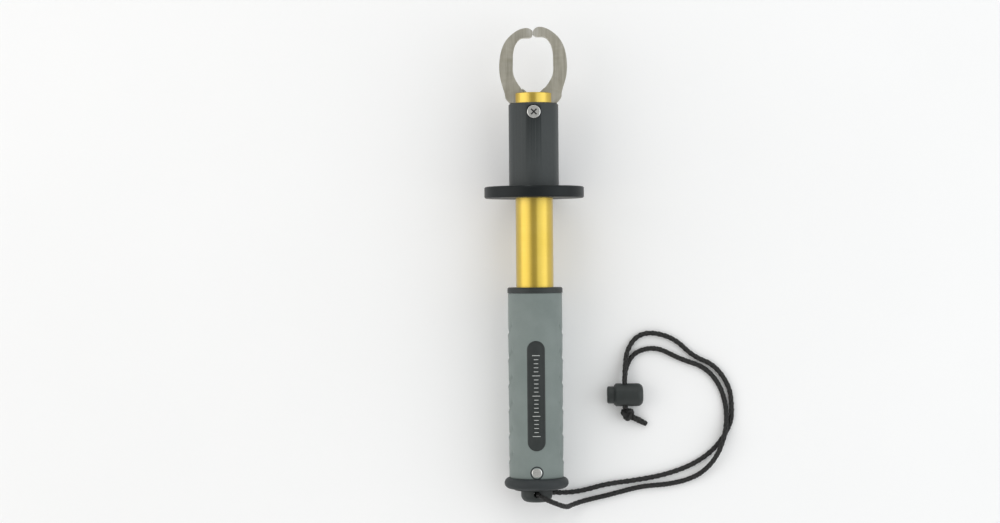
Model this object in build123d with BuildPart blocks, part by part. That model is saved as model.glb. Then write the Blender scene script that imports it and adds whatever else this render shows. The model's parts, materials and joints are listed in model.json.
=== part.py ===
from build123d import *
from math import asin, atan2, cos, hypot, pi, radians, sin, sqrt, tan
import os

# Fish lip grip: a spring scale in a rubber handle, a gold stem tube that slides out of it under
# load, and a black sleeve with a finger flange that pulls the two hooked jaws apart.
# Millimetres. The grip lies on the floor, Z = 0, on the flange's rim and the handle's bumper, with
# its jaws towards +Y and slightly raised, and its wrist cord on the floor at +X.
# Stations are distances along the tool's axis from the end of the dome.

# ---- driving dimensions ----
dome_length = 6.6
dome_radius = 8.6
dome_top_radius = 5.4
eye_radius = 1.8
eye_station = 4.7
bumper_section = 3.0
bumper_ring_radius = 14.65
bumper_lip = 0.9
plug_neck_radius = 12.2
plug_boss_length = 12.0

grip_length = 101.4
grip_radius = 14.9
grip_wall = 2.2
core_wall = 1.8
notch_count = 6
notch_first = 10.4
notch_pitch = 14.0
notch_width = 1.3
notch_rise = 5.2
notch_depth = 1.9
notch_reach = 13.0
badge_length = 60.0
badge_width = 9.7
badge_first = 15.4
badge_depth = 0.8
rivet_head_radius = 2.9
rivet_head_height = 1.0
rivet_shank_radius = 1.6
rivet_station_in_grip = 3.5
rivet_seat_radius = 3.4
bush_collar = 3.0
bush_collar_radius = 15.2
bush_skirt = 12.0

stem_radius = 10.3
stem_wall = 1.5
stem_showing = 49.0
stem_in_handle = 79.0
scale_travel = 36.0

flange_thickness = 6.3
flange_radius = 27.4
flange_rounding = 1.0
spigot_length = 3.2
sleeve_length = 45.7
sleeve_radius = 13.7
sleeve_wall = 1.1
guide_length = 11.3
sleeve_travel = 15.0

stem_proud = 5.7
jaw_reach = 36.3
left_jaw_short = 0.6
jaw_half_width = 18.5
mouth_half_width = 11.1
jaw_thickness = 6.0
tip_depth = 5.2
crotch_depth = 2.9
jaw_swing = 0.0205  # radians of opening for each millimetre of sleeve travel
pivot_depth = 33.0
post_depth = 10.9
pivot_radius = 2.0
post_radius = 2.0
boss_radius = 5.3
tail_inside = 6.3
shoulder_half_width = 12.9
screw_head_radius = 3.7
screw_head_height = 1.6
screw_shank_radius = 1.15
screw_depth = 8.0

spring_wire = 1.2
spring_turns = 7
clip_thickness = 1.2
clip_depth = 0.5
clip_mouth = 6.0
washer_thickness = 1.0
rod_radius = 2.5
stem_plug_length = 8.0
stem_pin_radius = 1.25
scale_spring_length = 60.0
scale_spring_radius = 6.0
scale_wire = 2.0
scale_turns = 11
scale_washer_thickness = 1.5
scale_nut_flats = 8.0
scale_nut_height = 4.5
rod_end = 2.0

cord_radius = 1.4
lock_radius = 6.4
lock_button_radius = 4.8
lock_button_out = 3.9
lock_button_travel = 3.0
lock_left = 5.9
lock_right = 10.2
lock_end_wall = 1.5
lock_end_rounding = 3.2
lock_mouth_chamfer = 1.0
lock_wire = 0.6
lock_turns = 4
knot_radius = 4.2

# ---- named clearances ----
running = 0.1  # sliding and turning fits, on the radius
seat = 0.05  # pieces fixed in each other, on the radius
lap_gap = 0.1  # between the two jaws' half-laps
slot_side = 0.15  # beside the jaws in the stem's slot
rim_gap = 0.3  # jaws' shoulders above the sleeve's rim
step_gap = 0.4  # one jaw's tail under the other's hook
jaw_gap = 0.2  # between the closed tips
neck_gap = 2.0  # jaws' necks inside the sleeve's guide bore
washer_gap = 0.6  # scale washer inside the stem
slot_run = 0.3  # spare length at the ends of a slot
cord_slack = 0.3  # round the cord in its lock

# ---- stations along the tool ----
bumper_station = dome_length + bumper_lip + bumper_section
grip_start = bumper_station + bumper_section
grip_end = grip_start + grip_length
handle_end = grip_end + bush_collar
flange_low = handle_end + stem_showing
flange_high = flange_low + flange_thickness
rim_station = flange_high + sleeve_length
stem_top = rim_station + stem_proud
stem_low = handle_end - stem_in_handle
jaw_top = stem_top + jaw_reach
pivot_station = stem_top - pivot_depth
post_station = stem_top - post_depth
guide_low = rim_station - guide_length

# ---- radii that follow ----
stem_bore = stem_radius - stem_wall
slide_bore = stem_radius + running
sleeve_bore = sleeve_radius - sleeve_wall
core_radius = grip_radius - grip_wall - seat
core_bore = core_radius - core_wall
scale_washer_radius = stem_bore - washer_gap
post_reach = post_station - pivot_station

# ---- how the tool lies: the flange's rim and the bumper both touch the floor ----
rim_along = flange_low + flange_rounding - bumper_station
rim_across = flange_radius - flange_rounding - bumper_ring_radius
lean = atan2(rim_across, rim_along) + asin(
    (flange_rounding - bumper_section) / hypot(rim_along, rim_across)
)
end_height = bumper_section + bumper_ring_radius * cos(lean) - bumper_station * sin(lean)
# the box's ends are the dome's end and the jaws' upper edges
end_back = -(jaw_top * cos(lean) - dome_top_radius * sin(lean) - jaw_thickness / 2 * sin(lean)) / 2
end_point = (0, end_back, end_height)

# flat holds the axis and X, so its sketches are drawn as (across, station); its normal is the
# tool's front. tool crosses the axis.
flat = Plane(origin=end_point, x_dir=(1, 0, 0), z_dir=(0, -sin(lean), cos(lean)))
tool = Plane(origin=end_point, x_dir=(1, 0, 0), z_dir=(0, cos(lean), sin(lean)))
spine = Axis(origin=end_point, direction=(0, cos(lean), sin(lean)))

os.makedirs("parts", exist_ok=True)


def save(piece, name):
    """Label a finished piece and write it under its node's name."""
    piece.part.label = name
    export_step(piece.part, f"parts/{name}.step")


def turn(*profile, mode=Mode.ADD):
    """Revolve (radius, station) corners about the tool's axis."""
    with BuildSketch(flat) as section:
        with BuildLine():
            Polyline(*profile, close=True)
        make_face()
    revolve(section.sketch, axis=spine, mode=mode)


def ring(inner, outer, low, high, mode=Mode.ADD):
    """A plain ring or, with an inner radius of 0, a disc."""
    turn((inner, low), (outer, low), (outer, high), (inner, high), mode=mode)


def cross_hole(radius, station, low, high, mode=Mode.SUBTRACT):
    """A round hole or pin from front to back, between two heights over the axis."""
    with BuildSketch(flat.offset(low)) as section:
        with Locations((0, station)):
            Circle(radius)
    extrude(section.sketch, amount=high - low, mode=mode)


def cross_slot(radius, first, last, low, high, mode=Mode.SUBTRACT):
    """A slot along the tool with round ends, between two heights over the axis."""
    with BuildSketch(flat.offset(low)) as section:
        with Locations((0, (first + last) / 2)):
            SlotCenterToCenter(abs(last - first), 2 * radius, rotation=90)
    extrude(section.sketch, amount=high - low, mode=mode)


def coil(radius, wire, low, high, turns):
    """A compression spring between two stations, its wire's middle a radius inside each."""
    rise = high - low - wire
    start = flat.from_local_coords((0, low + wire / 2, 0))
    with BuildLine() as path:
        Helix(rise / turns, rise, radius, center=start, direction=spine.direction)
    with BuildSketch(Plane(origin=path.line @ 0, z_dir=path.line % 0)) as section:
        Circle(wire / 2)
    sweep(section.sketch, path=path.line, is_frenet=True)


# ---- handle ----
with BuildPart() as end_plug:
    with BuildSketch(flat) as dome_half:
        with BuildLine():
            dome_side = Line((dome_radius, dome_length), (dome_radius, dome_length - 2.6))
            dome_curve = ThreePointArc(
                dome_side @ 1, (dome_radius - 1.0, 1.1), (dome_top_radius - 1.2, 0)
            )
            Polyline(
                dome_curve @ 1,
                (0, 0),
                (0, grip_start + plug_boss_length),
                (core_bore - seat, grip_start + plug_boss_length),
                (core_bore - seat, grip_start),
                (plug_neck_radius, grip_start),
                (plug_neck_radius, dome_length),
                dome_side @ 0,
            )
        make_face()
    revolve(dome_half.sketch, axis=spine)
    cross_hole(eye_radius, eye_station, -dome_radius - 1, dome_radius + 1)
    ring(0, rod_radius, grip_start + rod_end, grip_start + plug_boss_length + 1, Mode.SUBTRACT)
    rivet_station = grip_start + rivet_station_in_grip
    rivet_low = core_bore - 5.0
    cross_hole(rivet_shank_radius + seat, rivet_station, rivet_low, core_bore + 1)
save(end_plug, "end_plug")

with BuildPart() as end_bumper:
    with BuildSketch(flat) as bumper_round:
        with Locations((bumper_ring_radius, bumper_station)):
            Circle(bumper_section)
    revolve(bumper_round.sketch, axis=spine)
    ring(0, plug_neck_radius + seat, dome_length, grip_start + 1, Mode.SUBTRACT)
save(end_bumper, "end_bumper")

with BuildPart() as handle_core:
    ring(core_bore, core_radius, grip_start, grip_end)
    bush_seat_radius = core_radius - 0.7
    ring(0, bush_seat_radius + seat, grip_end - bush_skirt, grip_end + 1, Mode.SUBTRACT)
    cross_hole(rivet_shank_radius + seat, rivet_station, 0, core_radius + 1)
save(handle_core, "handle_core")

with BuildPart() as front_bush:
    turn(
        (slide_bore, grip_end - bush_skirt),
        (bush_seat_radius, grip_end - bush_skirt),
        (bush_seat_radius, grip_end),
        (bush_collar_radius, grip_end),
        (bush_collar_radius, handle_end - 0.6),
        (bush_collar_radius - 0.6, handle_end),
        (slide_bore, handle_end),
    )
save(front_bush, "front_bush")

with BuildPart() as rubber_grip:
    ring(core_radius + seat, grip_radius, grip_start + seat, grip_end)
    for side in (-1, 1):
        for notch in range(notch_count):
            notch_station = grip_start + notch_first + notch * notch_pitch
            with BuildSketch(flat.offset(-grip_radius)) as notch_side:
                with BuildLine():
                    Polyline(
                        (side * notch_reach, notch_station + notch_rise / 2),
                        (side * (notch_reach + notch_depth), notch_station - notch_rise / 2),
                        (side * (grip_radius + 1), notch_station - notch_rise / 2 - 2.0),
                        (side * (grip_radius + 1), notch_station - notch_rise / 2 + notch_width),
                        (side * (notch_reach + notch_depth / 2), notch_station + notch_rise / 2),
                        close=True,
                    )
                make_face()
            extrude(notch_side.sketch, amount=2 * grip_radius, mode=Mode.SUBTRACT)
    badge_middle = grip_start + badge_first + badge_length / 2
    with BuildSketch(flat) as badge_recess:
        with Locations((0, badge_middle)):
            SlotOverall(badge_length + 2 * seat, badge_width + 2 * seat, rotation=90)
    badge_floor = grip_radius - badge_depth
    recess_block = extrude(badge_recess.sketch, amount=grip_radius + 1, mode=Mode.PRIVATE)
    with BuildPart(mode=Mode.PRIVATE) as recess_shell:
        ring(badge_floor - seat, grip_radius + 2, grip_start, grip_end)
        add(recess_block, mode=Mode.INTERSECT)
    add(recess_shell.part, mode=Mode.SUBTRACT)
    cross_hole(rivet_head_radius + seat, rivet_station, 0, grip_radius + 1)
    rivet_seat = grip_radius - 0.8
    cross_hole(rivet_seat_radius, rivet_station, rivet_seat, grip_radius + 1)
save(rubber_grip, "rubber_grip")

with BuildPart() as grip_badge:
    ring(badge_floor, grip_radius, badge_middle - badge_length, badge_middle + badge_length)
    with BuildSketch(flat) as badge_outline:
        with Locations((0, badge_middle)):
            SlotOverall(badge_length, badge_width, rotation=90)
    extrude(badge_outline.sketch, amount=grip_radius + 1, mode=Mode.INTERSECT)
save(grip_badge, "grip_badge")

with BuildPart() as handle_rivet:
    rivet_head_low = rivet_seat - 0.2
    rivet_top = rivet_head_low + rivet_head_height
    cross_hole(rivet_head_radius, rivet_station, rivet_head_low, rivet_top, Mode.ADD)
    rivet_face = handle_rivet.faces().sort_by(Axis(end_point, flat.z_dir))[-1]
    fillet(rivet_face.edges(), 0.6)
    cross_hole(rivet_shank_radius, rivet_station, rivet_low + 0.2, rivet_head_low, Mode.ADD)
save(handle_rivet, "handle_rivet")

# ---- spring scale inside the handle ----
stem_plug_top = stem_low + stem_plug_length
scale_spring_top = stem_plug_top + scale_spring_length
scale_washer_top = scale_spring_top + scale_washer_thickness
scale_nut_top = scale_washer_top + scale_nut_height

with BuildPart() as scale_rod:
    ring(0, rod_radius, grip_start + rod_end, scale_nut_top + rod_end)
save(scale_rod, "scale_rod")

with BuildPart() as scale_washer:
    ring(rod_radius + seat, scale_washer_radius, scale_spring_top, scale_washer_top)
save(scale_washer, "scale_washer")

with BuildPart() as scale_nut:
    with BuildSketch(tool.offset(scale_washer_top)):
        RegularPolygon(scale_nut_flats / 2, 6, major_radius=False)
        Circle(rod_radius + seat, mode=Mode.SUBTRACT)
    extrude(amount=scale_nut_height)
save(scale_nut, "scale_nut")

with BuildPart() as scale_spring:
    coil(scale_spring_radius, scale_wire, stem_plug_top + seat, scale_spring_top - seat, scale_turns)
save(scale_spring, "scale_spring")

# ---- stem ----
with BuildPart() as stem_tube:
    ring(stem_bore, stem_radius, stem_low, stem_top)
    stem_rim = stem_tube.edges().filter_by(GeomType.CIRCLE).sort_by(Axis(end_point, tool.z_dir))[-2:]
    chamfer(stem_rim, 0.3)
    # the jaws' slot, open at the top and on both sides
    jaw_slot = jaw_thickness + 2 * slot_side
    slot_floor = pivot_station + boss_radius + 0.7
    with BuildSketch(flat.offset(-jaw_slot / 2)) as slot_face:
        with Locations((0, (slot_floor + stem_top + 2) / 2)):
            Rectangle(2 * stem_radius + 2, stem_top + 2 - slot_floor)
    extrude(slot_face.sketch, amount=jaw_slot, mode=Mode.SUBTRACT)
    # the cam post's slots, front and back
    post_slot = post_radius + running
    cross_slot(
        post_slot,
        post_station + slot_run,
        post_station - sleeve_travel - slot_run,
        -stem_radius - 1,
        stem_radius + 1,
    )
    cross_hole(pivot_radius, pivot_station, -stem_radius - 1, stem_radius + 1)
    # the groove for the spring's clip
    clip_station = guide_low - sleeve_travel - spring_turns * spring_wire - 4.0
    clip_low = clip_station - washer_thickness - clip_thickness
    ring(
        stem_radius - clip_depth,
        stem_radius + 1,
        clip_low - seat,
        clip_low + clip_thickness + seat,
        Mode.SUBTRACT,
    )
    stem_pin_station = stem_low + stem_plug_length / 2
    cross_hole(stem_pin_radius, stem_pin_station, -stem_radius - 1, stem_radius + 1)
save(stem_tube, "stem_tube")

with BuildPart() as stem_plug:
    ring(rod_radius + running, stem_bore - seat, stem_low, stem_plug_top)
    cross_hole(stem_pin_radius, stem_pin_station, -stem_radius, stem_radius)
save(stem_plug, "stem_plug")

with BuildPart() as stem_pins:
    pin_low = rod_radius + running + 0.8
    pin_high = stem_radius - 0.2
    cross_hole(stem_pin_radius, stem_pin_station, pin_low, pin_high, Mode.ADD)
    cross_hole(stem_pin_radius, stem_pin_station, -pin_high, -pin_low, Mode.ADD)
save(stem_pins, "stem_pins")

with BuildPart() as retaining_clip:
    ring(stem_radius - clip_depth + seat, sleeve_bore - 0.4, clip_low, clip_low + clip_thickness)
    with BuildSketch(flat.offset(-sleeve_bore)) as clip_opening:
        with Locations((0, clip_low)):
            Rectangle(clip_mouth, 4 * clip_thickness)
    extrude(clip_opening.sketch, amount=sleeve_bore, mode=Mode.SUBTRACT)
save(retaining_clip, "retaining_clip")

with BuildPart() as spring_washer:
    ring(slide_bore, sleeve_bore - 0.4, clip_low + clip_thickness, clip_station)
save(spring_washer, "spring_washer")

with BuildPart() as return_spring:
    spring_radius = (slide_bore + sleeve_bore) / 2
    coil(spring_radius, spring_wire, clip_station + seat, guide_low - seat, spring_turns)
save(return_spring, "return_spring")

with BuildPart() as pivot_pin:
    pin_reach = stem_radius - 0.2
    cross_hole(pivot_radius, pivot_station, -pin_reach, pin_reach, Mode.ADD)
save(pivot_pin, "pivot_pin")

# ---- sleeve and finger flange ----
screw_seat = sleeve_radius - screw_head_height - 0.2
with BuildPart() as sleeve:
    turn(
        (sleeve_bore, flange_high),
        (sleeve_radius, flange_high),
        (sleeve_radius, rim_station - 0.8),
        (sleeve_radius - 0.8, rim_station),
        (slide_bore, rim_station),
        (slide_bore, guide_low),
        (sleeve_bore, guide_low),
    )
    cross_hole(post_radius + seat, post_station, -sleeve_radius - 1, sleeve_radius + 1)
    cross_hole(screw_head_radius + running, post_station, screw_seat, sleeve_radius + 1)
    cross_hole(screw_head_radius + running, post_station, -sleeve_radius - 1, -screw_seat)
save(sleeve, "sleeve")

with BuildPart() as finger_flange:
    ring(slide_bore, flange_radius, flange_low, flange_high)
    rim_edges = finger_flange.edges().filter_by(
        lambda edge: abs(edge.radius - flange_radius) < seat if edge.geom_type == GeomType.CIRCLE else False
    )
    fillet(rim_edges, flange_rounding)
    spigot_radius = sleeve_bore - seat
    ring(slide_bore, spigot_radius, flange_high, flange_high + spigot_length)
save(finger_flange, "finger_flange")

with BuildPart() as cam_post:
    cross_hole(post_radius, post_station, -screw_seat, screw_seat, Mode.ADD)
    cross_hole(screw_head_radius, post_station, -screw_seat - screw_head_height, -screw_seat, Mode.ADD)
    cross_hole(screw_shank_radius + seat, post_station, screw_seat - screw_depth, screw_seat + 1)
save(cam_post, "cam_post")

with BuildPart() as cam_screw:
    head_top = screw_seat + screw_head_height
    cross_hole(screw_head_radius, post_station, screw_seat, head_top, Mode.ADD)
    screw_face = cam_screw.faces().sort_by(Axis(end_point, flat.z_dir))[-1]
    fillet(screw_face.edges(), 0.5)
    cross_hole(screw_shank_radius, post_station, screw_seat - screw_depth + 0.5, screw_seat, Mode.ADD)
    with BuildSketch(flat.offset(head_top)) as recess:
        with Locations((0, post_station)):
            Rectangle(4.2, 0.8, rotation=45)
            Rectangle(0.8, 4.2, rotation=45)
    extrude(recess.sketch, amount=-0.9, mode=Mode.SUBTRACT)
save(cam_screw, "cam_screw")


# ---- jaws ----
def jaw_outline(side):
    """Draw a jaw's hook and its tail, down to the pivot, as (across, station)."""
    top = jaw_top if side > 0 else jaw_top - left_jaw_short
    wide = jaw_half_width
    mouth = mouth_half_width
    neck_foot = pivot_station + 17.0
    with BuildLine() as edge:
        back = Spline(
            (side * 3.2, top),
            (side * (wide - 9.6), top - 1.6),
            (side * (wide - 3.3), top - 7.4),
            (side * wide, top - 18.5),
            (side * (wide - 0.7), top - 28.5),
            (side * (wide - 3.0), top - 37.0),
            (side * shoulder_half_width, shoulder),
            tangents=[(side, 0), (-side, -1)],
        )
        hook = Spline(
            (side * 2.4, top - tip_depth),
            (side * (mouth - 4.1), top - 5.8),
            (side * (mouth - 1.6), top - 8.8),
            (side * mouth, top - 20.0),
            (side * (mouth - 1.9), top - 29.5),
            (side * (mouth - 6.0), top - 35.0),
            (side * jaw_gap / 2, crotch),
            tangents=[(side, 0), (-side, -1)],
        )
        tip_face = Line((side * jaw_gap / 2, jaw_top - 4.0), (side * jaw_gap / 2, jaw_top - 2.4))
        ThreePointArc(tip_face @ 1, (side * 1.3, top - 0.75), back @ 0)
        ThreePointArc(tip_face @ 0, (side * 0.9, top - 4.85), hook @ 0)
        neck = ThreePointArc(
            (side * boss_radius, neck_foot),
            (side * (boss_radius + 1.1), pivot_station + 22.2),
            (side * neck_top_half_width, neck_top),
        )
        inner_foot = (side * jaw_gap / 2, pivot_station)
        outer_foot = (side * boss_radius, pivot_station)
        Polyline(hook @ 1, inner_foot, outer_foot, neck @ 0)
        Polyline(neck @ 1, (side * neck_top_half_width, shoulder), back @ 1)
    make_face(edge.line.edges())


def make_jaw(side):
    """One jaw: a hook of full thickness on one side, and a half-thickness tail on the pivot.

    side is -1 for the left jaw, whose tail is in front, and 1 for the right one.
    """
    near_face = -side * lap_gap / 2
    half = jaw_thickness / 2
    with BuildPart() as jaw:
        with BuildSketch(flat.offset(near_face)) as outline:
            jaw_outline(side)
            with Locations((-side * (tail_inside - boss_radius) / 2, pivot_station + tail_height / 2)):
                Rectangle(tail_inside + boss_radius, tail_height)
            with Locations((0, pivot_station)):
                Circle(boss_radius)
        extrude(outline.sketch, amount=-side * (half - lap_gap / 2))
        with BuildSketch(flat.offset(near_face)) as hook_only:
            jaw_outline(side)
            with Locations((0, pivot_station)):
                Circle(hook_root, mode=Mode.SUBTRACT)
        extrude(hook_only.sketch, amount=side * (half + lap_gap / 2))
        # the cam slot keeps the opening angle in step with the sleeve's travel: an arc through the
        # post's places in the jaw at both ends and the middle is within 0.02 of it all the way
        cam_points = []
        for travel in (-slot_run, sleeve_travel / 2, sleeve_travel + slot_run):
            reach = post_reach - travel
            across = -side * reach * sin(jaw_swing * travel)
            cam_points.append((across, pivot_station + reach * cos(jaw_swing * travel)))
        with BuildSketch(flat.offset(-half - 1)) as cam_slot:
            with BuildLine() as cam_line:
                ThreePointArc(*cam_points)
            SlotArc(cam_line.line.edge(), 2 * (post_radius + running))
        extrude(cam_slot.sketch, amount=jaw_thickness + 2, mode=Mode.SUBTRACT)
        cross_hole(pivot_radius + seat, pivot_station, -half - 1, half + 1)
    return jaw


shoulder = rim_station + rim_gap
neck_top = shoulder - 0.4
neck_top_half_width = slide_bore - neck_gap
crotch = stem_top - crotch_depth
hook_root = shoulder - pivot_station - rim_gap
tail_height = sqrt((hook_root - step_gap) ** 2 - tail_inside**2)

jaw_left = make_jaw(-1)
save(jaw_left, "jaw_left")
jaw_right = make_jaw(1)
save(jaw_right, "jaw_right")

# ---- wrist cord ----
# one cord through the dome's eye: its front leg and its back leg meet in the middle of the eye,
# lie on the floor, go through the lock and end in the knot
floor_lay = cord_radius + 0.1
lock_point = Vector(49.7, end_back + 58.2, lock_radius)
lock_spread = cord_radius + running
cord_way = 2 * (cord_radius + cord_slack)
knot_point = Vector(51.2, end_back + 47.6, knot_radius + 0.1)
eye_point = flat.from_local_coords((0, eye_station, 0))
eye_front = flat.from_local_coords((0, eye_station, 12.8))
eye_behind = flat.from_local_coords((0, eye_station, -12.4))

# places on the floor's plan: across, past the dome's end towards the jaws, and over the floor
front_leg = [
    (10.8, -1.0, 28.4),
    (16.6, -3.2, 19.0),
    (18.8, -2.6, 8.0),
    (26.5, -0.4, floor_lay),
    (41.5, 2.9, floor_lay),
    (58.5, 7.4, floor_lay),
    (75.0, 8.3, floor_lay),
    (90.0, 12.4, floor_lay),
    (100.0, 21.9, 4.9),
    (105.6, 35.4, 5.1),
    (107.0, 49.4, floor_lay),
    (103.6, 63.0, floor_lay),
    (95.0, 73.5, floor_lay),
    (81.0, 78.0, floor_lay),
    (68.0, 85.0, floor_lay),
    (56.0, 82.4, floor_lay),
    (50.8, 74.4, 2.6),
    (49.7, 66.0, 4.9),
    (49.6, 57.9, 4.9),
    (49.8, 50.8, 4.75),
]
back_leg = [
    (11.5, 4.1, 3.9),
    (24.0, 4.6, floor_lay),
    (39.0, 8.8, floor_lay),
    (55.0, 10.6, floor_lay),
    (72.0, 13.6, floor_lay),
    (88.0, 19.2, floor_lay),
    (100.6, 28.2, floor_lay),
    (109.2, 41.4, floor_lay),
    (109.8, 51.5, floor_lay),
    (108.5, 62.9, floor_lay),
    (100.3, 74.7, floor_lay),
    (88.3, 79.5, floor_lay),
    (78.4, 89.4, floor_lay),
    (65.5, 93.4, floor_lay),
    (56.6, 91.0, floor_lay),
    (51.4, 82.9, 2.4),
    (50.1, 74.8, 5.8),
    (49.6, 66.4, 7.9),
    (49.7, 58.0, 7.9),
    (50.0, 50.6, 7.75),
]
tail_run = [
    (54.0, 45.8, 3.0),
    (57.6, 44.2, 1.8),
    (62.0, 41.8, 1.7),
]


def from_dome(run):
    """A run's places in the part's frame, so that the cord goes where the dome's end is."""
    return [Vector(x, end_back + past, z) for x, past, z in run]


front_points = [eye_point, eye_front, *from_dome(front_leg)]
back_points = [eye_point, eye_behind, *from_dome(back_leg)]
tail_points = from_dome(tail_run)


def corner_radii(points):
    """The largest tangent arc at each corner of a route, 0.45 of its shorter run."""
    radii = []
    for before, corner, after in zip(points, points[1:], points[2:]):
        arriving = corner - before
        leaving = after - corner
        half_turn = radians(arriving.get_angle(leaving)) / 2
        radii.append(0.45 * min(arriving.length, leaving.length) / tan(half_turn))
    return radii


def lay_cord(points, radius):
    """Sweep a round section along a route of straight runs joined by tangent arcs."""
    radii = corner_radii(points)
    with BuildLine() as path:
        FilletPolyline(*points, radius=radii)
    with BuildSketch(Plane(origin=path.line @ 0, z_dir=path.line % 0)) as section:
        Circle(radius)
    cord_part = sweep(section.sketch, path=path.line)
    length = sum(edge.length for edge in path.line.edges())
    print("cord radii", [round(value, 1) for value in radii])
    print("length", round(length, 1), "volume share", cord_part.volume / (pi * radius**2 * length))


with BuildPart() as cord_front:
    lay_cord(front_points, cord_radius)
save(cord_front, "cord_front")

with BuildPart() as cord_back:
    lay_cord(back_points, cord_radius)
save(cord_back, "cord_back")

with BuildPart() as cord_tail:
    lay_cord(tail_points, cord_radius)
save(cord_tail, "cord_tail")

with BuildPart() as cord_knot:
    with BuildSketch(Plane(origin=knot_point, x_dir=(1, 0, 0), z_dir=(0, 1, 0))) as knot_half:
        Circle(knot_radius)
        Rectangle(2 * knot_radius, knot_radius, align=(Align.CENTER, Align.MAX), mode=Mode.SUBTRACT)
    revolve(knot_half.sketch, axis=Axis(origin=knot_point, direction=(1, 0, 0)))
save(cord_knot, "cord_knot")

# ---- cord lock: a barrel on the floor with a sprung button in its left end ----
lock_axis = Plane(origin=lock_point, x_dir=(0, 1, 0), z_dir=(1, 0, 0))
lock_floor = lock_right - lock_end_wall
button_inner = lock_floor - lock_button_travel - (lock_turns + 1) * lock_wire - 0.4

with BuildPart() as cord_lock_body:
    with BuildSketch(lock_axis.offset(-lock_left)):
        Circle(lock_radius)
    extrude(amount=lock_left + lock_right)
    fillet(cord_lock_body.edges().group_by(Axis.X)[-1], lock_end_rounding)
    chamfer(cord_lock_body.edges().group_by(Axis.X)[0], lock_mouth_chamfer)
    with BuildSketch(lock_axis.offset(-lock_left)):
        Circle(lock_button_radius + seat)
    extrude(amount=lock_left + lock_floor, mode=Mode.SUBTRACT)
    with BuildSketch(Plane(origin=lock_point, x_dir=(1, 0, 0), z_dir=(0, 1, 0))):
        SlotOverall(2 * lock_spread + cord_way, cord_way, rotation=90)
    extrude(amount=lock_radius + 1, both=True, mode=Mode.SUBTRACT)
save(cord_lock_body, "cord_lock_body")

with BuildPart() as cord_lock_button:
    with BuildSketch(lock_axis.offset(-lock_left - lock_button_out)):
        Circle(lock_button_radius)
    extrude(amount=lock_left + lock_button_out + button_inner)
    fillet(cord_lock_button.edges().group_by(Axis.X)[0], 1.0)
    with BuildSketch(Plane(origin=lock_point, x_dir=(1, 0, 0), z_dir=(0, 1, 0))):
        with Locations((-lock_button_travel / 2, 0)):
            Rectangle(cord_way + lock_button_travel, 2 * lock_spread + cord_way)
    extrude(amount=lock_button_radius + 1, both=True, mode=Mode.SUBTRACT)
save(cord_lock_button, "cord_lock_button")

with BuildPart() as cord_lock_spring:
    with BuildLine() as lock_coil:
        spring_rise = lock_floor - button_inner - lock_wire - 2 * seat
        spring_foot = lock_point + Vector(button_inner + lock_wire / 2 + seat, 0, 0)
        Helix(spring_rise / lock_turns, spring_rise, 3.0, center=spring_foot, direction=(1, 0, 0))
    with BuildSketch(Plane(origin=lock_coil.line @ 0, z_dir=lock_coil.line % 0)) as lock_wire_round:
        Circle(lock_wire / 2)
    sweep(lock_wire_round.sketch, path=lock_coil.line, is_frenet=True)
save(cord_lock_spring, "cord_lock_spring")
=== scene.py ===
"""Looks of the lip grip: camera, light, cords, detailed pieces and materials round the CAD frame."""

import json
import math

import bmesh
import bpy
import numpy as np
from mathutils import Matrix, Vector


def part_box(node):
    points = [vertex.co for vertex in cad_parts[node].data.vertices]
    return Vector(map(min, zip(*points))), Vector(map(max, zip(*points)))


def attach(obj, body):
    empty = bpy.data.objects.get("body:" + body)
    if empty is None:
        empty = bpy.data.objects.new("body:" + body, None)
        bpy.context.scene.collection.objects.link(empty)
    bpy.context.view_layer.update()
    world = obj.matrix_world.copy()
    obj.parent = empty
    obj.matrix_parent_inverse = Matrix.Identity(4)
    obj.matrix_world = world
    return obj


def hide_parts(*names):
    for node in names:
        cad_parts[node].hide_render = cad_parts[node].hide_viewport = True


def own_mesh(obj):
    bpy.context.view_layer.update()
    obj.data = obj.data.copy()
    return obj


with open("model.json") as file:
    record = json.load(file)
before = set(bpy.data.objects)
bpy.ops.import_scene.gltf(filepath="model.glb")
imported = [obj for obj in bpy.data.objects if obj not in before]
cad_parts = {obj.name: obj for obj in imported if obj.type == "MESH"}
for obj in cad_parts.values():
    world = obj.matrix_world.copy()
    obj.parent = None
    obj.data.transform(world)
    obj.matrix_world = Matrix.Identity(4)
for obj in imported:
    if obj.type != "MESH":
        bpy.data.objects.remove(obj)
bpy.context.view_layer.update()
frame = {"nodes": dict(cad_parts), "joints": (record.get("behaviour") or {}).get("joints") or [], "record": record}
scene = bpy.context.scene
nodes = frame["nodes"]
joints = {joint["name"]: joint for joint in frame["joints"]}
MM = 0.001
grip_radius = 14.9 * MM
stem_radius = 10.3 * MM


# ---- the tool's own frame: across, along (stations from the dome's end) and front ----
along = Vector(joints["scale_slide"]["axis"])
front = Vector(joints["jaw_left_pivot"]["axis"])
across = along.cross(front)
pivot = Vector(joints["jaw_left_pivot"]["pos_m"])


def frame_at(origin):
    """The matrix from (across, station, height over the axis) to the row frame."""
    matrix = Matrix((across, along, front)).transposed().to_4x4()
    matrix.translation = origin
    return matrix


def in_frame(node, matrix):
    """A CAD node's vertices in the tool's frame, one row each."""
    mesh = nodes[node].data
    places = np.zeros(len(mesh.vertices) * 3)
    mesh.vertices.foreach_get("co", places)
    turned = np.array(matrix.inverted())
    return places.reshape(-1, 3) @ turned[:3, :3].T + turned[:3, 3]


dome_low = in_frame("end_plug", frame_at(pivot))[:, 1].min()
tool = frame_at(pivot + along * dome_low)
lean = math.atan2(along.z, along.y)


def span(node):
    """The stations of a node's two ends."""
    stations = in_frame(node, tool)[:, 1]
    return float(stations.min()), float(stations.max())


def reach(node):
    """A node's largest radius about the tool's axis."""
    places = in_frame(node, tool)
    return float(np.hypot(places[:, 0], places[:, 2]).max())


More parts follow.
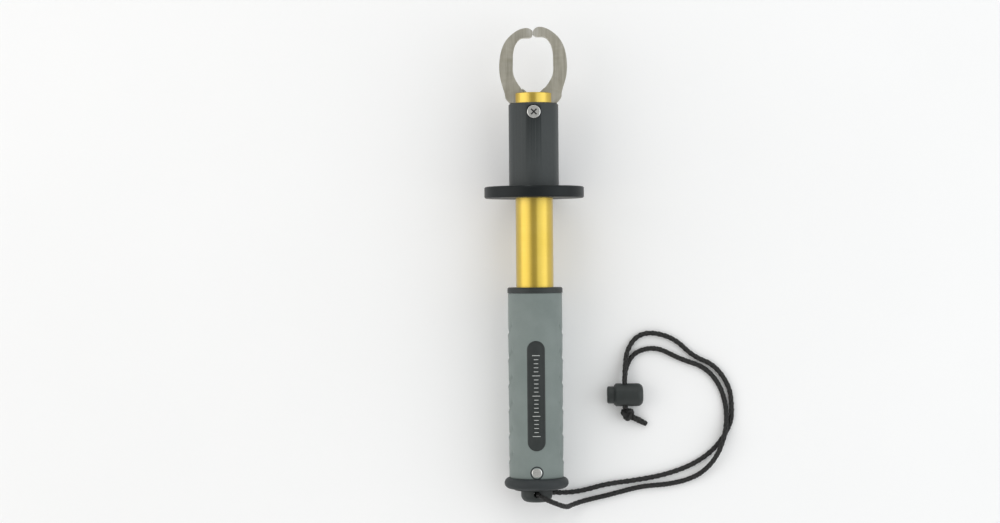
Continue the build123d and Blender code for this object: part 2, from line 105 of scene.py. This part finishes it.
# ---- camera, light and floor ----
def make_camera():
    """Look straight down the tool's front, from over a point left of its middle."""
    view_height = 1.2
    view_left = 0.0191
    view_station = 0.1323
    roll = math.radians(0.5)
    camera = bpy.data.objects.new("camera", bpy.data.cameras.new("camera"))
    camera.data.sensor_width = 36.0
    camera.data.lens = 78.5
    up = along * math.cos(roll) + across * math.sin(roll)
    right = up.cross(front)
    pose = Matrix((right, up, front)).transposed().to_4x4()
    pose.translation = tool @ Vector((-view_left, view_station, view_height))
    camera.matrix_world = pose
    scene.collection.objects.link(camera)
    scene.camera = camera


def soft_light(name, place, aim, size, power, tint):
    """A soft box at a place, facing a point."""
    light = bpy.data.lights.new(name, "AREA")
    light.shape = "RECTANGLE"
    light.size, light.size_y = size
    light.energy = power
    light.color = tint
    holder = bpy.data.objects.new(name, light)
    holder.location = place
    holder.rotation_euler = (Vector(aim) - Vector(place)).to_track_quat("-Z", "Y").to_euler()
    scene.collection.objects.link(holder)


def make_floor():
    """A plain pale floor that runs past the view on every side."""
    half = 4.0
    floor = mesh_piece(
        "floor",
        [(-half, -half, 0), (half, -half, 0), (half, half, 0), (-half, half, 0)],
        [(0, 1, 2, 3)],
    )
    floor.data.materials.append(floor_paint())


def light_room():
    """Even studio light: a pale room, darker overhead, and a long soft box on each side."""
    world = bpy.data.worlds.new("room")
    world.use_nodes = True
    tree = world.node_tree
    place = tree.nodes.new("ShaderNodeTexCoord")
    split = tree.nodes.new("ShaderNodeSeparateXYZ")
    ramp = tree.nodes.new("ShaderNodeValToRGB")
    ramp.color_ramp.interpolation = "EASE"
    ramp.color_ramp.elements[0].position = 0.45
    ramp.color_ramp.elements[0].color = (1.0, 1.0, 1.0, 1)
    ramp.color_ramp.elements[1].position = 0.97
    ramp.color_ramp.elements[1].color = (0.50, 0.50, 0.49, 1)
    tree.links.new(place.outputs["Generated"], split.inputs["Vector"])
    tree.links.new(split.outputs["Z"], ramp.inputs["Fac"])
    background = tree.nodes["Background"]
    tree.links.new(ramp.outputs["Color"], background.inputs["Color"])
    background.inputs["Strength"].default_value = 1.0
    scene.world = world
    soft_light("box_left", (-1.25, 0.0, 0.75), (0, 0, 0), (1.0, 1.8), 5.5, (1.0, 0.97, 0.93))
    soft_light("box_right", (1.05, 0.0, 0.95), (0, 0, 0), (1.0, 1.8), 5.5, (0.90, 0.96, 1.0))
    soft_light("box_top", (0.0, 1.3, 1.1), (0, 0, 0), (1.4, 0.7), 3.0, (1.0, 1.0, 1.0))
    scene.view_settings.view_transform = "Standard"


# ---- mesh helpers ----
def mesh_piece(name, places, faces):
    """A linked object from points in the row frame and faces."""
    mesh = bpy.data.meshes.new(name)
    mesh.from_pydata([tuple(place) for place in places], [], faces)
    piece = bpy.data.objects.new(name, mesh)
    scene.collection.objects.link(piece)
    mesh.shade_smooth()
    mesh.set_sharp_from_angle(angle=math.radians(38))
    mesh.update()
    return piece


def finish_piece(piece, body, material):
    """Give a piece its body and its material."""
    piece.data.materials.append(material)
    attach(piece, body)
    return piece


def tidy_mesh(piece):
    """Merge doubled points and turn every face outwards."""
    work = bmesh.new()
    work.from_mesh(piece.data)
    bmesh.ops.remove_doubles(work, verts=work.verts, dist=1e-6)
    bmesh.ops.recalc_face_normals(work, faces=work.faces)
    work.to_mesh(piece.data)
    work.free()
    piece.data.set_sharp_from_angle(angle=math.radians(38))


def ring_faces(rings, count, joined):
    """Faces between rings of points, each ring and the next, and the last and the first if joined."""
    faces = []
    for ring in range(rings if joined else rings - 1):
        here = ring * count
        there = (ring + 1) % rings * count
        for corner in range(count):
            after = (corner + 1) % count
            faces.append((here + corner, here + after, there + after, there + corner))
    return faces


def smooth_line(name, points):
    """Points along the smooth curve of a route's control points."""
    curve = bpy.data.curves.new(name, "CURVE")
    curve.dimensions = "3D"
    curve.resolution_u = 20
    spline = curve.splines.new("NURBS")
    spline.points.add(len(points) - 1)
    for control, place in zip(spline.points, points):
        control.co = (*place, 1)
    spline.order_u = 3
    spline.use_endpoint_u = True
    holder = bpy.data.objects.new(name, curve)
    scene.collection.objects.link(holder)
    mesh = bpy.data.meshes.new_from_object(holder)
    line = [vertex.co.copy() for vertex in mesh.vertices]
    bpy.data.objects.remove(holder)
    bpy.data.meshes.remove(mesh)
    return line


def even_line(line, step):
    """The same line with points at even distances."""
    places = np.array(line)
    runs = np.linalg.norm(np.diff(places, axis=0), axis=1)
    passed = np.concatenate([[0], np.cumsum(runs)])
    marks = np.linspace(0, passed[-1], max(2, round(passed[-1] / step)) + 1)
    even = np.stack([np.interp(marks, passed, places[:, axis]) for axis in range(3)], axis=1)
    return even, marks


def carried_sides(places):
    """Two directions square to a line at each of its points, carried along with no twist."""
    ahead = np.gradient(places, axis=0)
    ahead /= np.linalg.norm(ahead, axis=1)[:, None]
    side = np.cross(ahead[0], [0.3, 0.2, 0.93])
    first = []
    for direction in ahead:
        side = side - direction * side.dot(direction)
        side = side / np.linalg.norm(side)
        first.append(side)
    first = np.array(first)
    return first, np.cross(ahead, first)


def tube(places, radii, sides):
    """Rings of points and faces for a closed tube along a line."""
    first, second = carried_sides(places)
    turns = 2 * np.pi * np.arange(sides) / sides
    spokes = first[:, None, :] * np.cos(turns)[None, :, None]
    spokes = spokes + second[:, None, :] * np.sin(turns)[None, :, None]
    rings = places[:, None, :] + spokes * np.asarray(radii)[:, None, None]
    points = rings.reshape(-1, 3)
    faces = ring_faces(len(places), sides, False)
    last = (len(places) - 1) * sides
    faces.append(tuple(range(sides))[::-1])
    faces.append(tuple(last + side for side in range(sides)))
    return points, faces


def braid(name, line, radius, taper=None):
    """A cord braided from four strands each way round, along a smooth line."""
    strand_radius = 0.37 * radius
    middle = 0.57 * radius
    wave = 0.13 * radius
    pitch = 10.0 * radius
    step = 0.29 * radius
    places, marks = even_line(line, step)
    first, second = carried_sides(places)
    shrink = np.ones(len(marks)) if taper is None else taper(marks / marks[-1])
    all_points = []
    all_faces = []
    for way in (1, -1):
        turning = 2 * np.pi * marks / pitch
        over = middle + way * wave * np.cos(4 * turning)
        for strand in range(4):
            angle = way * turning + strand * math.pi / 2
            across_line = first * np.cos(angle)[:, None] + second * np.sin(angle)[:, None]
            centre = places + across_line * (over * shrink)[:, None]
            points, faces = tube(centre, strand_radius * shrink, 6)
            base = sum(len(part) for part in all_points)
            all_points.append(points)
            all_faces.extend(tuple(corner + base for corner in face) for face in faces)
    return mesh_piece(name, np.concatenate(all_points), all_faces)


# ---- materials ----
def surface(name, tones, blotch, grain, rough, relief, stretch=(1, 1, 1), metal=0.0, own=None, worn=None):
    """A procedural material: soft blotches of two tones, with a finer grain in roughness and relief.

    blotch and grain are noise scales in 1/m, rough is the least and most roughness, relief is the
    grain's height in metres, stretch scales the grain along (across, along, front), and worn is the
    colour of rubbed edges.
    """
    material = bpy.data.materials.new(name)
    material.use_nodes = True
    tree = material.node_tree
    shader = tree.nodes["Principled BSDF"]
    shader.inputs["Metallic"].default_value = metal
    for socket, value in (own or {}).items():
        shader.inputs[socket].default_value = value

    def node(kind, **inputs):
        made = tree.nodes.new(kind)
        for socket, value in inputs.items():
            made.inputs[socket].default_value = value
        return made

    place = tree.nodes.new("ShaderNodeTexCoord")
    turned = node("ShaderNodeMapping", Rotation=(-lean, 0, 0))
    drawn = node("ShaderNodeMapping", Scale=stretch)
    tree.links.new(place.outputs["Object"], turned.inputs["Vector"])
    tree.links.new(turned.outputs["Vector"], drawn.inputs["Vector"])
    cloud = node("ShaderNodeTexNoise", Scale=blotch, Detail=4.0, Roughness=0.6)
    fine = node("ShaderNodeTexNoise", Scale=grain, Detail=6.0, Roughness=0.65)
    tree.links.new(turned.outputs["Vector"], cloud.inputs["Vector"])
    tree.links.new(drawn.outputs["Vector"], fine.inputs["Vector"])

    both = tree.nodes.new("ShaderNodeMath")
    both.operation = "MULTIPLY_ADD"
    both.inputs[1].default_value = 0.45
    tree.links.new(fine.outputs["Fac"], both.inputs[0])
    tree.links.new(cloud.outputs["Fac"], both.inputs[2])
    ramp = tree.nodes.new("ShaderNodeValToRGB")
    ramp.color_ramp.elements[0].position = 0.45
    ramp.color_ramp.elements[1].position = 1.0
    ramp.color_ramp.elements[0].color = (*tones[0], 1)
    ramp.color_ramp.elements[1].color = (*tones[1], 1)
    tree.links.new(both.outputs[0], ramp.inputs["Fac"])
    colour = ramp.outputs["Color"]
    if worn is not None:
        colour = worn_edges(tree, colour, fine.outputs["Fac"], worn)
    tree.links.new(colour, shader.inputs["Base Color"])

    polish = tree.nodes.new("ShaderNodeMapRange")
    polish.inputs["From Min"].default_value = 0.3
    polish.inputs["From Max"].default_value = 0.7
    polish.inputs["To Min"].default_value = rough[0]
    polish.inputs["To Max"].default_value = rough[1]
    tree.links.new(fine.outputs["Fac"], polish.inputs["Value"])
    tree.links.new(polish.outputs["Result"], shader.inputs["Roughness"])

    bump = node("ShaderNodeBump", Strength=1.0, Distance=relief)
    tree.links.new(fine.outputs["Fac"], bump.inputs["Height"])
    tree.links.new(bump.outputs["Normal"], shader.inputs["Normal"])
    return material


def worn_edges(tree, colour, grain, worn):
    """Mix a rubbed tone in along convex edges, broken up by the grain."""
    shape = tree.nodes.new("ShaderNodeNewGeometry")
    edge = tree.nodes.new("ShaderNodeMapRange")
    edge.inputs["From Min"].default_value = 0.53
    edge.inputs["From Max"].default_value = 0.62
    tree.links.new(shape.outputs["Pointiness"], edge.inputs["Value"])
    broken = tree.nodes.new("ShaderNodeMath")
    broken.operation = "MULTIPLY"
    tree.links.new(edge.outputs["Result"], broken.inputs[0])
    tree.links.new(grain, broken.inputs[1])
    mix = tree.nodes.new("ShaderNodeMix")
    mix.data_type = "RGBA"
    tree.links.new(broken.outputs[0], mix.inputs["Factor"])
    first, second = [socket for socket in mix.inputs if socket.type == "RGBA"]
    tree.links.new(colour, first)
    second.default_value = (*worn, 1)
    return [socket for socket in mix.outputs if socket.type == "RGBA"][0]


def floor_paint():
    """Matt near-white studio board."""
    return surface("studio_floor", ((0.89, 0.89, 0.89), (0.92, 0.92, 0.92)), 3, 900, (0.8, 0.9), 2e-5)


def make_materials():
    """Every finish of the object, by its slot in the record."""
    return {
        "polished_steel": surface(
            "brushed_steel", ((0.31, 0.287, 0.215), (0.46, 0.428, 0.33)), 70, 900, (0.28, 0.46), 9e-6,
            stretch=(1.0, 0.06, 1.0), metal=1.0, worn=(0.72, 0.71, 0.68),
        ),
        "gold_anodised": surface(
            "gold_anodising", ((0.55, 0.39, 0.055), (0.64, 0.465, 0.095)), 40, 2600, (0.27, 0.36), 1.5e-6,
            stretch=(0.03, 1.0, 0.03), metal=1.0, own={"Coat Weight": 0.3, "Coat Roughness": 0.12},
        ),
        "black_anodised": surface(
            "black_anodising", ((0.006, 0.008, 0.0085), (0.011, 0.0145, 0.0155)), 60, 5200, (0.36, 0.46),
            5e-6,
            own={"Specular IOR Level": 0.18}, worn=(0.10, 0.11, 0.11),
        ),
        "rubber_grey_green": surface(
            "grey_green_rubber", ((0.140, 0.172, 0.162), (0.196, 0.232, 0.220)), 45, 3800, (0.62, 0.78),
            2.4e-5,
            own={"Sheen Weight": 0.12, "Sheen Roughness": 0.5},
        ),
        "rubber_black": surface(
            "black_rubber", ((0.016, 0.020, 0.021), (0.028, 0.033, 0.035)), 80, 4200, (0.48, 0.62), 1.6e-5,
            own={"Specular IOR Level": 0.32},
        ),
        "black_plastic": surface(
            "black_plastic", ((0.017, 0.021, 0.020), (0.030, 0.035, 0.034)), 90, 5200, (0.40, 0.52), 8e-6,
            own={"Specular IOR Level": 0.32},
        ),
        "bright_steel": surface(
            "bright_steel", ((0.58, 0.58, 0.56), (0.76, 0.76, 0.74)), 220, 5200, (0.16, 0.30), 5e-6,
            metal=1.0,
        ),
        "spring_steel": surface(
            "spring_steel", ((0.32, 0.32, 0.33), (0.50, 0.50, 0.50)), 260, 4200, (0.25, 0.42), 6e-6,
            metal=1.0,
        ),
        "black_cord": surface(
            "black_cord_fibre", ((0.006, 0.006, 0.006), (0.020, 0.020, 0.019)), 500, 9000, (0.60, 0.80), 3e-5,
            own={"Sheen Weight": 0.05, "Sheen Roughness": 0.4},
        ),
        "pale_print": surface(
            "pale_print", ((0.52, 0.54, 0.53), (0.66, 0.68, 0.66)), 200, 6200, (0.5, 0.65), 4e-6,
        ),
        # black print is real print on the stem, and also paints the shade in the cam screw's cross slot
        "black_print": surface(
            "black_print", ((0.012, 0.012, 0.012), (0.022, 0.022, 0.022)), 200, 6200, (0.5, 0.65), 4e-6,
        ),
    }


# ---- wrist cord ----
def cord_routes():
    """The two legs' and the tail's control points: from the dome's eye to the knot behind the lock.

    A point on the floor's plan is (across, past the dome's end towards the jaws, over the floor),
    in millimetres.
    """
    rest = 1.5  # the cord's middle over the floor where it lies on it
    eye_station = 4.7
    eye = tool @ Vector((0, eye_station * MM, 0))
    eye_front = tool @ Vector((0, eye_station * MM, 12.8 * MM))
    eye_behind = tool @ Vector((0, eye_station * MM, -12.4 * MM))
    front_leg = [
        (10.8, -1.0, 28.4),
        (16.6, -3.2, 19.0),
        (18.8, -2.6, 8.0),
        (26.5, -0.4, rest),
        (41.5, 2.9, rest),
        (58.5, 7.4, rest),
        (75.0, 8.3, rest),
        (90.0, 12.4, rest),
        (100.0, 21.9, 4.9),
        (105.6, 35.4, 5.1),
        (107.0, 49.4, rest),
        (103.6, 63.0, rest),
        (95.0, 73.5, rest),
        (81.0, 78.0, rest),
        (68.0, 85.0, rest),
        (56.0, 82.4, rest),
        (50.8, 74.4, 2.6),
        (49.7, 66.0, 4.9),
        (49.6, 57.9, 4.9),
        (49.8, 50.8, 4.75),
    ]
    back_leg = [
        (11.5, 4.1, 3.9),
        (24.0, 4.6, rest),
        (39.0, 8.8, rest),
        (55.0, 10.6, rest),
        (72.0, 13.6, rest),
        (88.0, 19.2, rest),
        (100.6, 28.2, rest),
        (109.2, 41.4, rest),
        (109.8, 51.5, rest),
        (108.5, 62.9, rest),
        (100.3, 74.7, rest),
        (88.3, 79.5, rest),
        (78.4, 89.4, rest),
        (65.5, 93.4, rest),
        (56.6, 91.0, rest),
        (51.4, 82.9, 2.4),
        (50.1, 74.8, 5.8),
        (49.6, 66.4, 7.9),
        (49.7, 58.0, 7.9),
        (50.0, 50.6, 7.75),
    ]
    tail_run = [
        (54.0, 45.8, 3.0),
        (57.6, 44.2, 1.8),
        (62.0, 41.8, 1.7),
    ]
    dome_end = tool.translation.y

    def from_dome(run):
        return [Vector((x * MM, dome_end + past * MM, z * MM)) for x, past, z in run]

    front_route = [eye, eye_front, *from_dome(front_leg)]
    back_route = [eye, eye_behind, *from_dome(back_leg)]
    return front_route, back_route, from_dome(tail_run)


def knot_line(middle, size):
    """An overhand knot's closed line, in a ball of the given radius."""
    line = []
    for turn in np.linspace(0, 2 * math.pi, 161):
        place = Vector((
            math.sin(turn) + 2 * math.sin(2 * turn),
            math.cos(turn) - 2 * math.cos(2 * turn),
            -1.35 * math.sin(3 * turn),
        ))
        line.append(middle + place * size / 3)
    return line


def tip_taper(share):
    """Full width, then a little narrower where the fused end was cut."""
    return 1.12 - 0.28 * np.clip((share - 0.5) / 0.5, 0, 1) ** 1.5


def make_cords(cord_finish):
    """Both legs of the wrist cord, its knot and its fused tail."""
    diameter = 2.8 * MM
    front_route, back_route, tail_route = cord_routes()
    low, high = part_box("cord_knot")
    knot_radius = (high.x - low.x) / 2
    knot = braid("knot_strands", knot_line((low + high) / 2, knot_radius - diameter * 0.55), diameter * 0.5)
    tail = braid("tail_strands", smooth_line("tail_line", tail_route), diameter * 0.55, tip_taper)
    for piece, node in ((knot, "cord_knot"), (tail, "cord_tail")):
        finish_piece(piece, "handle", cord_finish)
        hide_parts(node)
    legs = (("cord_front", front_route), ("cord_back", back_route))
    for node, route in legs:
        line = smooth_line(node + "_line", route)
        leg = braid(node + "_braid", line, diameter / 2)
        finish_piece(leg, "handle", cord_finish)
        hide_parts(node)


# ---- handle and stem details ----
def ease(low, high, value):
    """0 below low, 1 above high, and smooth between."""
    share = np.clip((value - low) / (high - low), 0, 1)
    return share * share * (3 - 2 * share)


def turned(radius, angle, station):
    """A place at an angle from the tool's front, about its axis."""
    return tool @ Vector((radius * math.sin(angle), station, radius * math.cos(angle)))


def grip_rows(low, high):
    """Stations of the grip's rings, close together at each shingle's lip, and the lips."""
    first_lip = 7.8 * MM
    pitch = 14.0 * MM
    lips = [low + first_lip + pitch * turn for turn in range(6)]
    near = (-4.5, -3.0, -2.0, -1.2, -0.6, 0.0, 0.07, 0.4, 0.9, 1.6, 2.6, 4.0, 5.5, 7.0)
    rows = [low, low + 0.12 * MM, low + 0.45 * MM, low + 1.5 * MM]
    for lip in lips:
        rows.extend(lip + offset * MM for offset in near)
    rows.extend(lips[-1] + offset * MM for offset in (9.0, 12.0, 15.0, 18.0, 21.0))
    rows.extend([high - 0.45 * MM, high - 0.12 * MM, high])
    return rows, lips


def lip_relief(past):
    """The surface's height near a lip in millimetres: a swell up to the lip, then a cut that fades."""
    swell_height = 0.22
    swell_run = 1.2
    cut_start = 0.03
    cut_depth = 1.8
    cut_run = 1.3
    if past > cut_start:
        return -cut_depth * math.exp(-past / cut_run)
    return swell_height * math.exp(past / swell_run)


def make_grip(finish):
    """The rubber grip, with shingled slanting notches down both sides."""
    columns = 192
    core_fit = 0.05 * MM
    lip_rise = 20.4 * MM  # for each radian squared from the side
    lip_angle = 0.51  # from the side, past which a lip rises no more
    fade_start = 0.42
    fade_end = 0.58
    slant_in = 6.5 * MM  # from the grip's low end, where the rings are square again
    slant_out = 6.0 * MM  # from the last lip, where they start to turn square
    edge_run = 0.45 * MM
    edge_drop = 0.35 * MM
    lip_bias = 1.5 * MM  # a ring belongs to the lip that it is nearer to, with this much favour

    low, high = span("rubber_grip")
    bore = reach("handle_core") + core_fit
    rows, lips = grip_rows(low, high)
    places = []
    for row in rows:
        slant = min(1, (row - low) / slant_in) * min(1, (high - row) / (high - lips[-1] - slant_out))
        edge = edge_drop * max(0, 1 - min(row - low, high - row) / edge_run) ** 2
        lip = min(lips, key=lambda place: abs(place - row + lip_bias))
        relief = lip_relief((row - lip) / MM)
        for column in range(columns):
            angle = 2 * math.pi * column / columns
            from_side = math.atan2(abs(math.cos(angle)), abs(math.sin(angle)))
            rise = lip_rise * min(from_side, lip_angle) ** 2 * slant
            shown = 1 - ease(fade_start, fade_end, from_side)
            radius = grip_radius - edge + relief * MM * shown
            places.append(turned(radius, angle, row + rise))
    for row in (high, low):
        for column in range(columns):
            places.append(turned(bore, 2 * math.pi * column / columns, row))
    faces = ring_faces(len(rows) + 2, columns, True)
    grip = mesh_piece("grip_shingled", places, faces)
    tidy_mesh(grip)
    finish_piece(grip, "handle", finish)
    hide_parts("rubber_grip")


def badge_ring(middle, half_straight, width):
    """(across, station) round a rounded-end plate's outline."""
    ring = []
    for end in (1, -1):
        for step in range(25):
            angle = math.pi * step / 24
            rise = half_straight + width * math.sin(angle)
            ring.append((end * width * math.cos(angle), middle + end * rise))
        for step in range(1, 20):
            ring.append((-end * width, middle + end * half_straight * (1 - step / 10)))
    return ring


def stepped_plate(name, steps, middle, half_straight, half_width):
    """Rings of a plate on the grip, each (inset from the outline, height over the grip) in mm."""
    points = []
    for inset, proud in steps:
        radius = grip_radius + proud * MM
        for x, station in badge_ring(middle, half_straight, half_width - inset * MM):
            points.append(tool @ Vector((x, station, math.sqrt(radius**2 - x**2))))
    piece = mesh_piece(name, points, ring_faces(len(steps), len(points) // len(steps), False))
    tidy_mesh(piece)
    return piece


def make_badge(finish, bead_finish):
    """The badge plate with a raised rim, in a low rubber bead; gives the plate's middle station."""
    low, high = span("grip_badge")
    half_width = float(in_frame("grip_badge", tool)[:, 0].max())
    middle = (low + high) / 2
    half_straight = (high - low) / 2 - half_width
    plate_steps = (
        (0.0, -0.6), (0.0, 0.06), (0.12, 0.13), (0.60, 0.13), (0.75, 0.03),
        (1.6, 0.03), (2.6, 0.03), (3.6, 0.03), (4.5, 0.03), (4.84, 0.03),
    )
    bead_steps = ((-0.7, -0.3), (-0.6, 0.05), (-0.4, 0.12), (-0.15, 0.10), (0.0, -0.05), (0.0, -0.3))
    plate = stepped_plate("badge_plate", plate_steps, middle, half_straight, half_width)
    finish_piece(plate, "handle", finish)
    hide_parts("grip_badge")
    bead = stepped_plate("badge_bead", bead_steps, middle, half_straight, half_width)
    finish_piece(bead, "handle", bead_finish)
    return middle


def curved_blocks(name, blocks, radius, proud):
    """Low printed marks on a round surface: each (across low, high, station low, high)."""
    rooted = 0.05 * MM
    points = []
    faces = []
    for left, right, bottom, top in blocks:
        base = len(points)
        for level in (radius - rooted, radius + proud):
            for station in (bottom, top):
                for step in range(5):
                    angle = (left + (right - left) * step / 4) / radius
                    points.append(turned(level, angle, station))
        for step in range(4):
            low_a, low_b = base + step, base + 5 + step
            top_a, top_b = base + 10 + step, base + 15 + step
            faces.append((low_a, low_b, low_b + 1, low_a + 1))
            faces.append((top_a, top_a + 1, top_b + 1, top_b))
            faces.append((low_a, low_a + 1, top_a + 1, top_a))
            faces.append((low_b, top_b, top_b + 1, low_b + 1))
        for end in (0, 4):
            faces.append((base + end, base + 5 + end, base + 15 + end, base + 10 + end))
    piece = mesh_piece(name, points, faces)
    tidy_mesh(piece)
    return piece


def badge_marks(middle, finish):
    """A plain ruler down the badge."""
    spacing = 2.2 * MM
    long_half = 2.1 * MM
    short_half = 1.2 * MM
    half_thick = 0.14 * MM
    plate_radius = grip_radius + 0.03 * MM
    blocks = []
    for tick in range(-10, 11):
        half = long_half if tick % 5 == 0 else short_half
        station = middle + tick * spacing
        blocks.append((-half, half, station - half_thick, station + half_thick))
    marks = curved_blocks("badge_ruler", blocks, plate_radius, 0.05 * MM)
    finish_piece(marks, "handle", finish)


def digit_blocks(digit, left, bottom):
    """The bars of a seven-bar numeral."""
    wide = 1.5 * MM
    tall = 2.6 * MM
    bar = 0.26 * MM
    bars = {
        "top": (0, wide, tall - bar, tall),
        "middle": (0, wide, (tall - bar) / 2, (tall + bar) / 2),
        "bottom": (0, wide, 0, bar),
        "left_up": (0, bar, tall / 2, tall),
        "left_down": (0, bar, 0, tall / 2),
        "right_up": (wide - bar, wide, tall / 2, tall),
        "right_down": (wide - bar, wide, 0, tall / 2),
    }
    shown = {
        "0": ("top", "bottom", "left_up", "left_down", "right_up", "right_down"),
        "1": ("right_up", "right_down"),
        "2": ("top", "middle", "bottom", "right_up", "left_down"),
        "5": ("top", "middle", "bottom", "left_up", "right_down"),
    }
    blocks = []
    for bar_name in shown[digit]:
        bar_left, bar_right, bar_low, bar_high = bars[bar_name]
        blocks.append((left + bar_left, left + bar_right, bottom + bar_low, bottom + bar_high))
    return blocks


def stem_scale(finish):
    """The weighing scale on the stem, which comes out of the handle as it is pulled."""
    full_weight = 22
    scale_travel = 36.0 * MM
    tick_left = -3.6 * MM
    tick_right = -1.0 * MM
    long_tick_right = 0.6 * MM
    half_thick = 0.12 * MM
    digits_left = 1.2 * MM
    digit_spacing = 2.1 * MM
    half_digit = 1.3 * MM

    handle_end = span("front_bush")[1]
    blocks = []
    for weight in range(1, full_weight + 1):
        station = handle_end - weight * scale_travel / full_weight
        right = long_tick_right if weight % 5 == 0 else tick_right
        blocks.append((tick_left, right, station - half_thick, station + half_thick))
        if weight % 5 == 0:
            for place, digit in enumerate(str(weight)):
                left = digits_left + digit_spacing * place
                blocks.extend(digit_blocks(digit, left, station - half_digit))
    marks = curved_blocks("stem_scale", blocks, stem_radius, 0.04 * MM)
    finish_piece(marks, "stem", finish)


def rivet_ring(finish):
    """The dark moulded seat round the handle's rivet."""
    places = in_frame("handle_rivet", tool)
    station = float(places[:, 1].min() + places[:, 1].max()) / 2
    # (radius about the rivet, height over the handle's axis), in millimetres
    profile = ((2.95, 14.4), (2.95, 14.93), (3.1, 15.06), (3.5, 15.02), (3.65, 14.86), (3.65, 14.4))
    steps = 72
    points = []
    for step in range(steps):
        angle = 2 * math.pi * step / steps
        for radius, height in profile:
            x = radius * MM * math.cos(angle)
            y = radius * MM * math.sin(angle)
            drop = grip_radius - math.sqrt(grip_radius**2 - x**2)
            points.append(tool @ Vector((x, station + y, height * MM - drop)))
    faces = ring_faces(steps, len(profile), True)
    ring = mesh_piece("rivet_seat", points, faces)
    tidy_mesh(ring)
    finish_piece(ring, "handle", finish)


def screw_recess(finish):
    """Painted shade: dark bars set deep in the cam screw's head, where its cross slot lies in shade."""
    places = in_frame("cam_screw", tool)
    station = float(places[:, 1].min() + places[:, 1].max()) / 2
    top = float(places[:, 2].max())
    half_long = 2.08 * MM
    half_wide = 0.38 * MM
    cross_low = top - 0.88 * MM
    cross_high = top - 0.30 * MM
    sides = ((3, 2, 1, 0), (4, 5, 6, 7), (0, 1, 5, 4), (1, 2, 6, 5), (2, 3, 7, 6), (3, 0, 4, 7))
    points = []
    faces = []
    for turn in (45, 135):
        angle = math.radians(turn)
        base = len(points)
        for height in (cross_low, cross_high):
            for run, side in ((-1, -1), (1, -1), (1, 1), (-1, 1)):
                x = run * half_long * math.cos(angle) - side * half_wide * math.sin(angle)
                y = run * half_long * math.sin(angle) + side * half_wide * math.cos(angle)
                points.append(tool @ Vector((x, station + y, height)))
        faces.extend(tuple(base + corner for corner in face) for face in sides)
    # painted shade: the dark bars stand in for the shade in the screw's cross slot
    shade_cross = mesh_piece("screw_recess", points, faces)
    finish_piece(shade_cross, "sleeve", finish)


def coil(name, ends, wire_radius, coil_radius, turns, sides):
    """A helical spring between two places on its axis, with its wire inside them."""
    low, high = (np.array(end) for end in ends)
    length = np.linalg.norm(high - low)
    ahead = (high - low) / length
    steps = turns * 40
    share = np.linspace(0, 1, steps + 1)
    angle = 2 * np.pi * turns * share
    first, second = (np.array(side) for side in sides)
    run = wire_radius + (length - 2 * wire_radius) * share
    round_axis = np.outer(np.cos(angle), first) + np.outer(np.sin(angle), second)
    centre = low + np.outer(run, ahead) + coil_radius * round_axis
    points, faces = tube(centre, np.full(steps + 1, wire_radius), 10)
    return mesh_piece(name, points, faces)


def make_springs(finish):
    """The three springs as wound wire."""
    for name, node, body, joint, anchor_high, wire, turns, keep in (
        ("scale_coil", "scale_spring", "handle", "scale_slide", True, 2.0, 11, 0.4),
        ("return_coil", "return_spring", "stem", "sleeve_slide", False, 1.2, 7, 0.45),
    ):
        low, high = span(node)
        ends = [tool @ Vector((0, station, 0)) for station in (low, high)]
        wire_radius = wire / 2 * MM
        piece = coil(name, ends, wire_radius, reach(node) - wire_radius, turns, (across, front))
        finish_piece(piece, body, finish)
        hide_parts(node)
        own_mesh(piece)
    low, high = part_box("cord_lock_spring")
    middle = (low + high) / 2
    ends = [Vector((x, middle.y, middle.z)) for x in (low.x, high.x)]
    wire_radius = 0.3 * MM
    coil_radius = (high.y - low.y) / 2 - wire_radius
    piece = coil("lock_coil", ends, wire_radius, coil_radius, 4, (Vector((0, 1, 0)), Vector((0, 0, 1))))
    finish_piece(piece, "handle", finish)
    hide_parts("cord_lock_spring")
    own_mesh(piece)


# ---- the CAD nodes' finishes ----
def dress_nodes(finishes):
    """Give every CAD node the material of its slot in the record."""
    for part in frame["record"]["subparts"]:
        node = nodes[part["node"]]
        node.data.materials.clear()
        node.data.materials.append(finishes[part["material_slot"]])


finishes = make_materials()
make_camera()
make_cords(finishes["black_cord"])
make_grip(finishes["rubber_grey_green"])
badge_middle = make_badge(finishes["black_plastic"], finishes["rubber_grey_green"])
badge_marks(badge_middle, finishes["pale_print"])
stem_scale(finishes["black_print"])
rivet_ring(finishes["rubber_black"])
# painted shade in the cam screw's cross slot, in the black print finish
screw_recess(finishes["black_print"])
make_springs(finishes["spring_steel"])
dress_nodes(finishes)
make_floor()
light_room()
